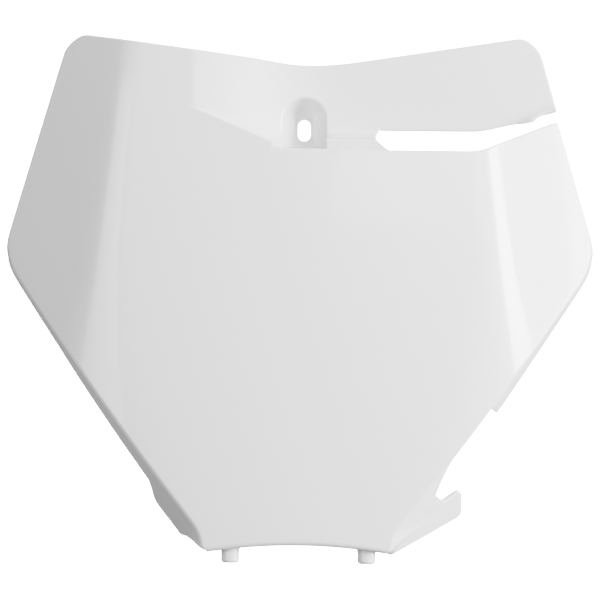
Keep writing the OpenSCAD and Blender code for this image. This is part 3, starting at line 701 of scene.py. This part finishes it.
# Behind the sheet, the boss's outside meets the loops of the rear skin.
backXZ = section(rimY, wall)
backFace = onFace(backXZ[:, 0], backXZ[:, 1], above)
backNormal = faceNormal(backXZ[:, 0], backXZ[:, 1], above, wallReach)
backPoint = backFace + wall * backNormal
endY = np.minimum(backPoint[:, 1], seatEdge - 0.2)
for t in np.linspace(0, 1, 6)[1:]:
    y = mix(seatEdge, endY, t)
    loops.append(lift(section(y, wall), y))
for t in np.linspace(0, 1, frontLoops)[:-1]:
    xz = mix(backXZ, outer, t)
    face = onFace(xz[:, 0], xz[:, 1], above)
    loops.append(face + wall * faceNormal(xz[:, 0], xz[:, 1], above, wallReach))

row = frontIds[ringI, ringJ]
for points in loops:
    nextRow = build.add(points)
    build.strip(row, nextRow, closed=True)
    row = nextRow
build.strip(row, rearIds[ringI, ringJ], closed=True)
print("stage: pocket", len(ring), "by", len(loops))

# The pegs, and the webs that carry them on the shelf. webFoot and webIn are shares of the wall.
pegs = {
    "d": 8.0, "pitch": 60.5, "shift": -0.65, "back": 8.0, "endDrop": 192.4, "chamfer": 0.9,
    "rootH": 2.1, "rootW": 0.5, "webFoot": 0.8, "webIn": 0.7, "webTip": 0.9, "webLean": 0.5,
    "webEase": 0.35,
}


# A peg: a profile turned about its axis, with a chamfer at its end and a flared root. Its ends are
# closed by strips between the two halves of a ring.
def addPeg(x):
    y = float(faceY(np.array(x), np.array(rowBottom), True)) + pegs["back"]
    r = pegs["d"] / 2
    c = pegs["chamfer"]
    end = -pegs["endDrop"]
    rootZ = rowBottom + board["bottomRise"] / 2
    neck = rootZ - pegs["rootH"]
    profile = [
        (r - c - 0.6, end), (r - c - 0.25, end), (r - c - 0.05, end + 0.04),
        (r - c + 0.1, end + 0.14), (r - 0.14, end + c - 0.1), (r - 0.03, end + c + 0.08),
        (r, end + c + 0.3), (r, neck - 0.5), (r + 0.03, neck + 0.1), (r + pegs["rootW"], rootZ),
    ]
    angle = np.linspace(0, 2 * np.pi, 72, endpoint=False)
    half = len(angle) // 2
    rows = [
        build.add(np.stack([
            x + radius * np.cos(angle), y + radius * np.sin(angle), np.full_like(angle, z)], axis=-1))
        for radius, z in profile
    ]
    build.strip(rows[0][:half - 1:-1], rows[0][:half])
    for a, b in zip(rows, rows[1:]):
        build.strip(a, b, closed=True)
    build.strip(rows[-1][:half], rows[-1][:half - 1:-1])


def addWeb(x):
    y = float(faceY(np.array(x), np.array(rowBottom), True)) + pegs["back"]
    foot = rowBottom + board["bottomRise"] / 2 + wall * pegs["webFoot"]
    back = y - pegs["back"] + wall * pegs["webIn"]
    tip = y + pegs["d"] / 2
    lean = tip - pegs["webLean"]
    step = foot + pegs["webTip"]
    top = foot + 2 * pegs["d"]
    side = np.array([[back, foot], [tip, foot], [lean, step], [back, top]])
    inner = side - np.array([[0, 0], [0.4, 0], [0.4, 0], [0, 0.6]])
    half = wall / 2
    near = half - pegs["webEase"]
    rows = []
    for dx, shape in ((-half, inner), (-near, side), (near, side), (half, inner)):
        rows.append(build.add(np.stack([np.full(4, x + dx), shape[:, 0], shape[:, 1]], axis=-1)))
    for a, b in zip(rows, rows[1:]):
        build.strip(a, b, closed=True)
    build.quads.append(rows[0][None, ::-1])
    build.quads.append(rows[-1][None, :])


for side in (-1, 1):
    addPeg(pegs["shift"] + side * pegs["pitch"] / 2)
    addWeb(pegs["shift"] + side * pegs["pitch"] / 2)


def makeMesh(name):
    points = np.concatenate(build.points) / 1000
    quads = np.concatenate(build.quads)
    mesh = bpy.data.meshes.new(name)
    mesh.vertices.add(len(points))
    mesh.vertices.foreach_set("co", points.astype(np.float32).ravel())
    mesh.loops.add(quads.size)
    mesh.loops.foreach_set("vertex_index", quads.astype(np.int32).ravel())
    mesh.polygons.add(len(quads))
    mesh.polygons.foreach_set("loop_start", np.arange(0, quads.size, 4, dtype=np.int32))
    mesh.update(calc_edges=True)
    mesh.validate()
    mesh.shade_smooth()
    piece = bpy.data.objects.new(name, mesh)
    bpy.context.scene.collection.objects.link(piece)
    return piece


numberBoard = makeMesh("numberBoard")
print("stage: mesh", len(numberBoard.data.polygons), "quads")


# Shader maths as plain expressions: each value wraps a socket and its operators add nodes.
class Value:
    def __init__(self, tree, socket):
        self.tree = tree
        self.socket = socket

    def math(self, operation, other, swapped=False):
        made = self.tree.nodes.new("ShaderNodeMath")
        made.operation = operation
        order = (other, self) if swapped else (self, other)
        for target, item in zip(made.inputs, order):
            if isinstance(item, Value):
                self.tree.links.new(item.socket, target)
            else:
                target.default_value = item
        return Value(self.tree, made.outputs[0])

    def __add__(self, other):
        return self.math("ADD", other)

    def __radd__(self, other):
        return self.math("ADD", other, True)

    def __sub__(self, other):
        return self.math("SUBTRACT", other)

    def __rsub__(self, other):
        return self.math("SUBTRACT", other, True)

    def __mul__(self, other):
        return self.math("MULTIPLY", other)

    def __rmul__(self, other):
        return self.math("MULTIPLY", other, True)


class Shader:
    def __init__(self, name):
        self.material = bpy.data.materials.new(name)
        self.material.use_nodes = True
        self.tree = self.material.node_tree
        self.tree.nodes.clear()

    # Adds a node of a type, with settings on the node and values or links on its sockets.
    def node(self, kind, settings=None, **values):
        made = self.tree.nodes.new("ShaderNode" + kind)
        for key, item in (settings or {}).items():
            setattr(made, key, item)
        for key, item in values.items():
            socket = made.inputs[key.replace("_", " ")]
            if isinstance(item, Value):
                self.tree.links.new(item.socket, socket)
            else:
                socket.default_value = item
        return made

    def value(self, made, output=0):
        return Value(self.tree, made.outputs[output])

    def noise(self, where, scale, detail, rough):
        made = self.node("TexNoise", Vector=where, Scale=scale, Detail=detail, Roughness=rough)
        return self.value(made, "Fac")

    # The colour Mix node has sockets of the same name for every type, so these go by number.
    def mixColour(self, share, first, second):
        made = self.node("Mix", {"data_type": "RGBA"})
        made.inputs[6].default_value = first
        made.inputs[7].default_value = second
        self.tree.links.new(share.socket, made.inputs[0])
        return self.value(made, 2)


# Broad clouds tint the plastic, finer streaks change its gloss, and a fine peel unevens it. Scales
# are per metre, and depths are in metres.
plastic = {
    "base": (0.80, 0.80, 0.80, 1), "tint": (0.785, 0.786, 0.79, 1), "roughness": 0.22,
    "roughSpread": 0.06, "cloudScale": 9.0, "streakScale": 42.0, "peelScale": 260.0,
    "peelShare": 0.6, "peelDepth": 0.00004, "peelStrength": 0.35, "index": 1.49, "coat": 0.5,
    "coatRoughness": 0.05, "scatter": 0.05, "scatterDepth": 0.002,
}


def glossPlastic():
    shader = Shader("glossWhitePlastic")
    where = shader.value(shader.node("TexCoord"), "Object")
    cloud = shader.noise(where, plastic["cloudScale"], 3.0, 0.5)
    streak = shader.noise(where, plastic["streakScale"], 4.0, 0.55)
    peel = shader.noise(where, plastic["peelScale"], 2.0, 0.5)
    rough = plastic["roughness"] + plastic["roughSpread"] * (streak - 0.5)
    height = peel * plastic["peelShare"] + streak * (1 - plastic["peelShare"])
    bump = shader.node(
        "Bump", Height=height, Strength=plastic["peelStrength"], Distance=plastic["peelDepth"])
    surface = shader.node(
        "BsdfPrincipled", Base_Color=shader.mixColour(cloud, plastic["base"], plastic["tint"]),
        Roughness=rough, Normal=shader.value(bump), IOR=plastic["index"],
        Coat_Weight=plastic["coat"], Coat_Roughness=plastic["coatRoughness"],
        Subsurface_Weight=plastic["scatter"], Subsurface_Scale=plastic["scatterDepth"],
    )
    shader.node("OutputMaterial", Surface=shader.value(surface))
    return shader.material


numberBoard.data.materials.append(glossPlastic())
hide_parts("number_board")
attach(numberBoard, "root")
print("stage: material")

# The studio: a pale floor far below under a white backdrop, and soft lights, the brightest from
# the right.
studio = {
    "floorZ": -2.4, "floorHalf": 14.0, "grey": 0.8, "greySpread": 0.985, "floorGlow": 8.0,
    "ambient": 0.12, "backdrop": 40.0, "aimZ": -0.08,
}


# The floor is lit evenly by its own glow, and its light doesn't reach the part.
def makeFloor():
    half = studio["floorHalf"]
    corners = [(-half, -half, 0), (half, -half, 0), (half, half, 0), (-half, half, 0)]
    mesh = bpy.data.meshes.new("floor")
    mesh.from_pydata(corners, [], [(0, 1, 2, 3)])
    floor = bpy.data.objects.new("floor", mesh)
    floor.location = (0, 0, studio["floorZ"])
    floor.visible_diffuse = False
    floor.visible_glossy = False
    bpy.context.scene.collection.objects.link(floor)
    shader = Shader("paleFloor")
    where = shader.value(shader.node("TexCoord"), "Object")
    grain = shader.noise(where, 3.0, 2.0, 0.5)
    light = (studio["grey"],) * 3 + (1,)
    dark = (studio["grey"] * studio["greySpread"],) * 3 + (1,)
    colour = shader.mixColour(grain, light, dark)
    surface = shader.node(
        "BsdfPrincipled", Base_Color=colour, Roughness=0.9, Emission_Color=colour,
        Emission_Strength=studio["floorGlow"])
    shader.node("OutputMaterial", Surface=shader.value(surface))
    mesh.materials.append(shader.material)
    return floor


makeFloor()


# A soft rectangular light that faces the middle of the part.
def addArea(name, at, size, power):
    data = bpy.data.lights.new(name, "AREA")
    data.shape = "RECTANGLE"
    data.size, data.size_y = size
    data.energy = power
    light = bpy.data.objects.new(name, data)
    light.location = at
    direction = Vector((0, 0, studio["aimZ"])) - Vector(at)
    light.rotation_euler = direction.to_track_quat("-Z", "Y").to_euler()
    bpy.context.scene.collection.objects.link(light)


addArea("key", (2.14, -1.3, 0.55), (0.6, 1.8), 245.0)
addArea("sideRight", (2.4, -0.4, 0.1), (0.7, 1.5), 135.0)
addArea("frontLeft", (-1.64, -1.95, 0.1), (1.2, 1.4), 46.0)
addArea("window", (0.85, -2.35, 0.85), (1.6, 1.1), 45.0)
addArea("top", (0.9, -0.7, 2.1), (1.4, 0.9), 50.0)
addArea("behind", (-0.9, 2.6, 1.3), (1.6, 1.6), 120.0)

# The world is white where the camera sees it and only a weak light for everything else.
world = bpy.data.worlds.new("studio")
world.use_nodes = True
worldTree = world.node_tree
glow = worldTree.nodes["Background"]
white = worldTree.nodes.new("ShaderNodeBackground")
for node, strength in ((glow, studio["ambient"]), (white, studio["backdrop"])):
    node.inputs["Color"].default_value = (1, 1, 1, 1)
    node.inputs["Strength"].default_value = strength
seen = worldTree.nodes.new("ShaderNodeLightPath")
either = worldTree.nodes.new("ShaderNodeMixShader")
worldTree.links.new(seen.outputs["Is Camera Ray"], either.inputs[0])
worldTree.links.new(glow.outputs[0], either.inputs[1])
worldTree.links.new(white.outputs[0], either.inputs[2])
worldTree.links.new(either.outputs[0], worldTree.nodes["World Output"].inputs[0])
bpy.context.scene.world = world

# The camera looks straight at the face from far off, turned a little about its own axis. The
# photo is pixels wide at scale millimetres a pixel, and originX, originY is the origin's pixel.
view = {
    "lens": 500.0, "sensor": 36.0, "roll": 0.62, "pixels": 600, "scale": 0.4433,
    "originX": 304.3, "originY": 129.9, "faceY": -0.022,
}
cameraData = bpy.data.cameras.new("camera")
cameraData.lens = view["lens"]
cameraData.sensor_width = view["sensor"]
camera = bpy.data.objects.new("camera", cameraData)
pixel = view["scale"] / 1000
distance = view["pixels"] * pixel * view["lens"] / view["sensor"]
roll = math.radians(view["roll"])
offX = (view["pixels"] / 2 - view["originX"]) * pixel
offZ = -(view["pixels"] / 2 - view["originY"]) * pixel
camera.location = (
    offX * math.cos(roll) - offZ * math.sin(roll), view["faceY"] - distance,
    offZ * math.cos(roll) + offX * math.sin(roll))
camera.rotation_mode = "QUATERNION"
camera.rotation_quaternion = (
    Quaternion((1, 0, 0), math.radians(90)) @ Quaternion((0, 0, 1), roll))
bpy.context.scene.collection.objects.link(camera)
bpy.context.scene.camera = camera

print("stage: done")
